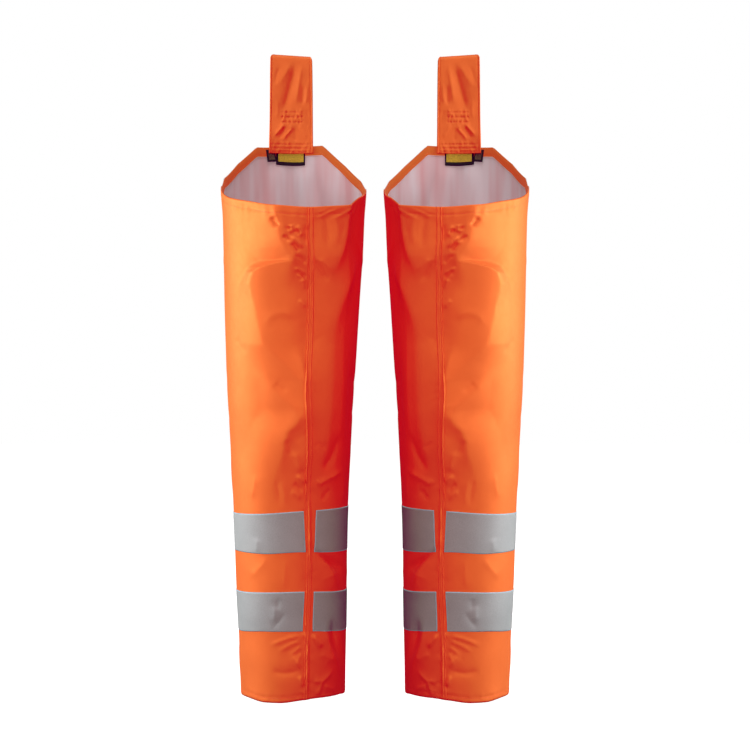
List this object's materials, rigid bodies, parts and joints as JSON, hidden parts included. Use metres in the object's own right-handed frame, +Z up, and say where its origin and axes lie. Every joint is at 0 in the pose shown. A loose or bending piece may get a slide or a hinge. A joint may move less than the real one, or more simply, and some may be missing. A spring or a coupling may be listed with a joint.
{
  "type": "pair of rain chaps",
  "caption": "Waterproof rain chaps: tapering leg tubes with open tops slanting up to a flat back, a belt strap loop on each and wide reflective tapes round the shins.",
  "frame": {"origin": "where the belt passes, midway between the two belt straps", "axes": "+Z up, the front of the legs towards -Y, the wearer's left leg at +X"},
  "size_m": [0.4004, 0.2341, 0.8489],
  "materials": {
    "panel": "smooth coated cloth with a soft gloss, fluorescent orange-red",
    "hem": "the same cloth turned over, orange side showing",
    "tape": "silver grey retroreflective tape",
    "strap": "coated cloth with turned and stitched edges",
    "main_label": "black woven label, bare",
    "size_label": "dark woven label, bare"
  },
  "bodies": {
    "root": {"right_leg_panel": "panel", "right_seam_lap": "panel", "right_top_hem": "hem", "right_upper_tape": "tape", "right_lower_tape": "tape", "right_belt_strap": "strap", "right_main_label": "main_label", "right_size_label": "size_label", "left_leg_panel": "panel", "left_seam_lap": "panel", "left_top_hem": "hem", "left_upper_tape": "tape", "left_lower_tape": "tape", "left_belt_strap": "strap", "left_main_label": "main_label", "left_size_label": "size_label"}
  },
  "joints": []
}
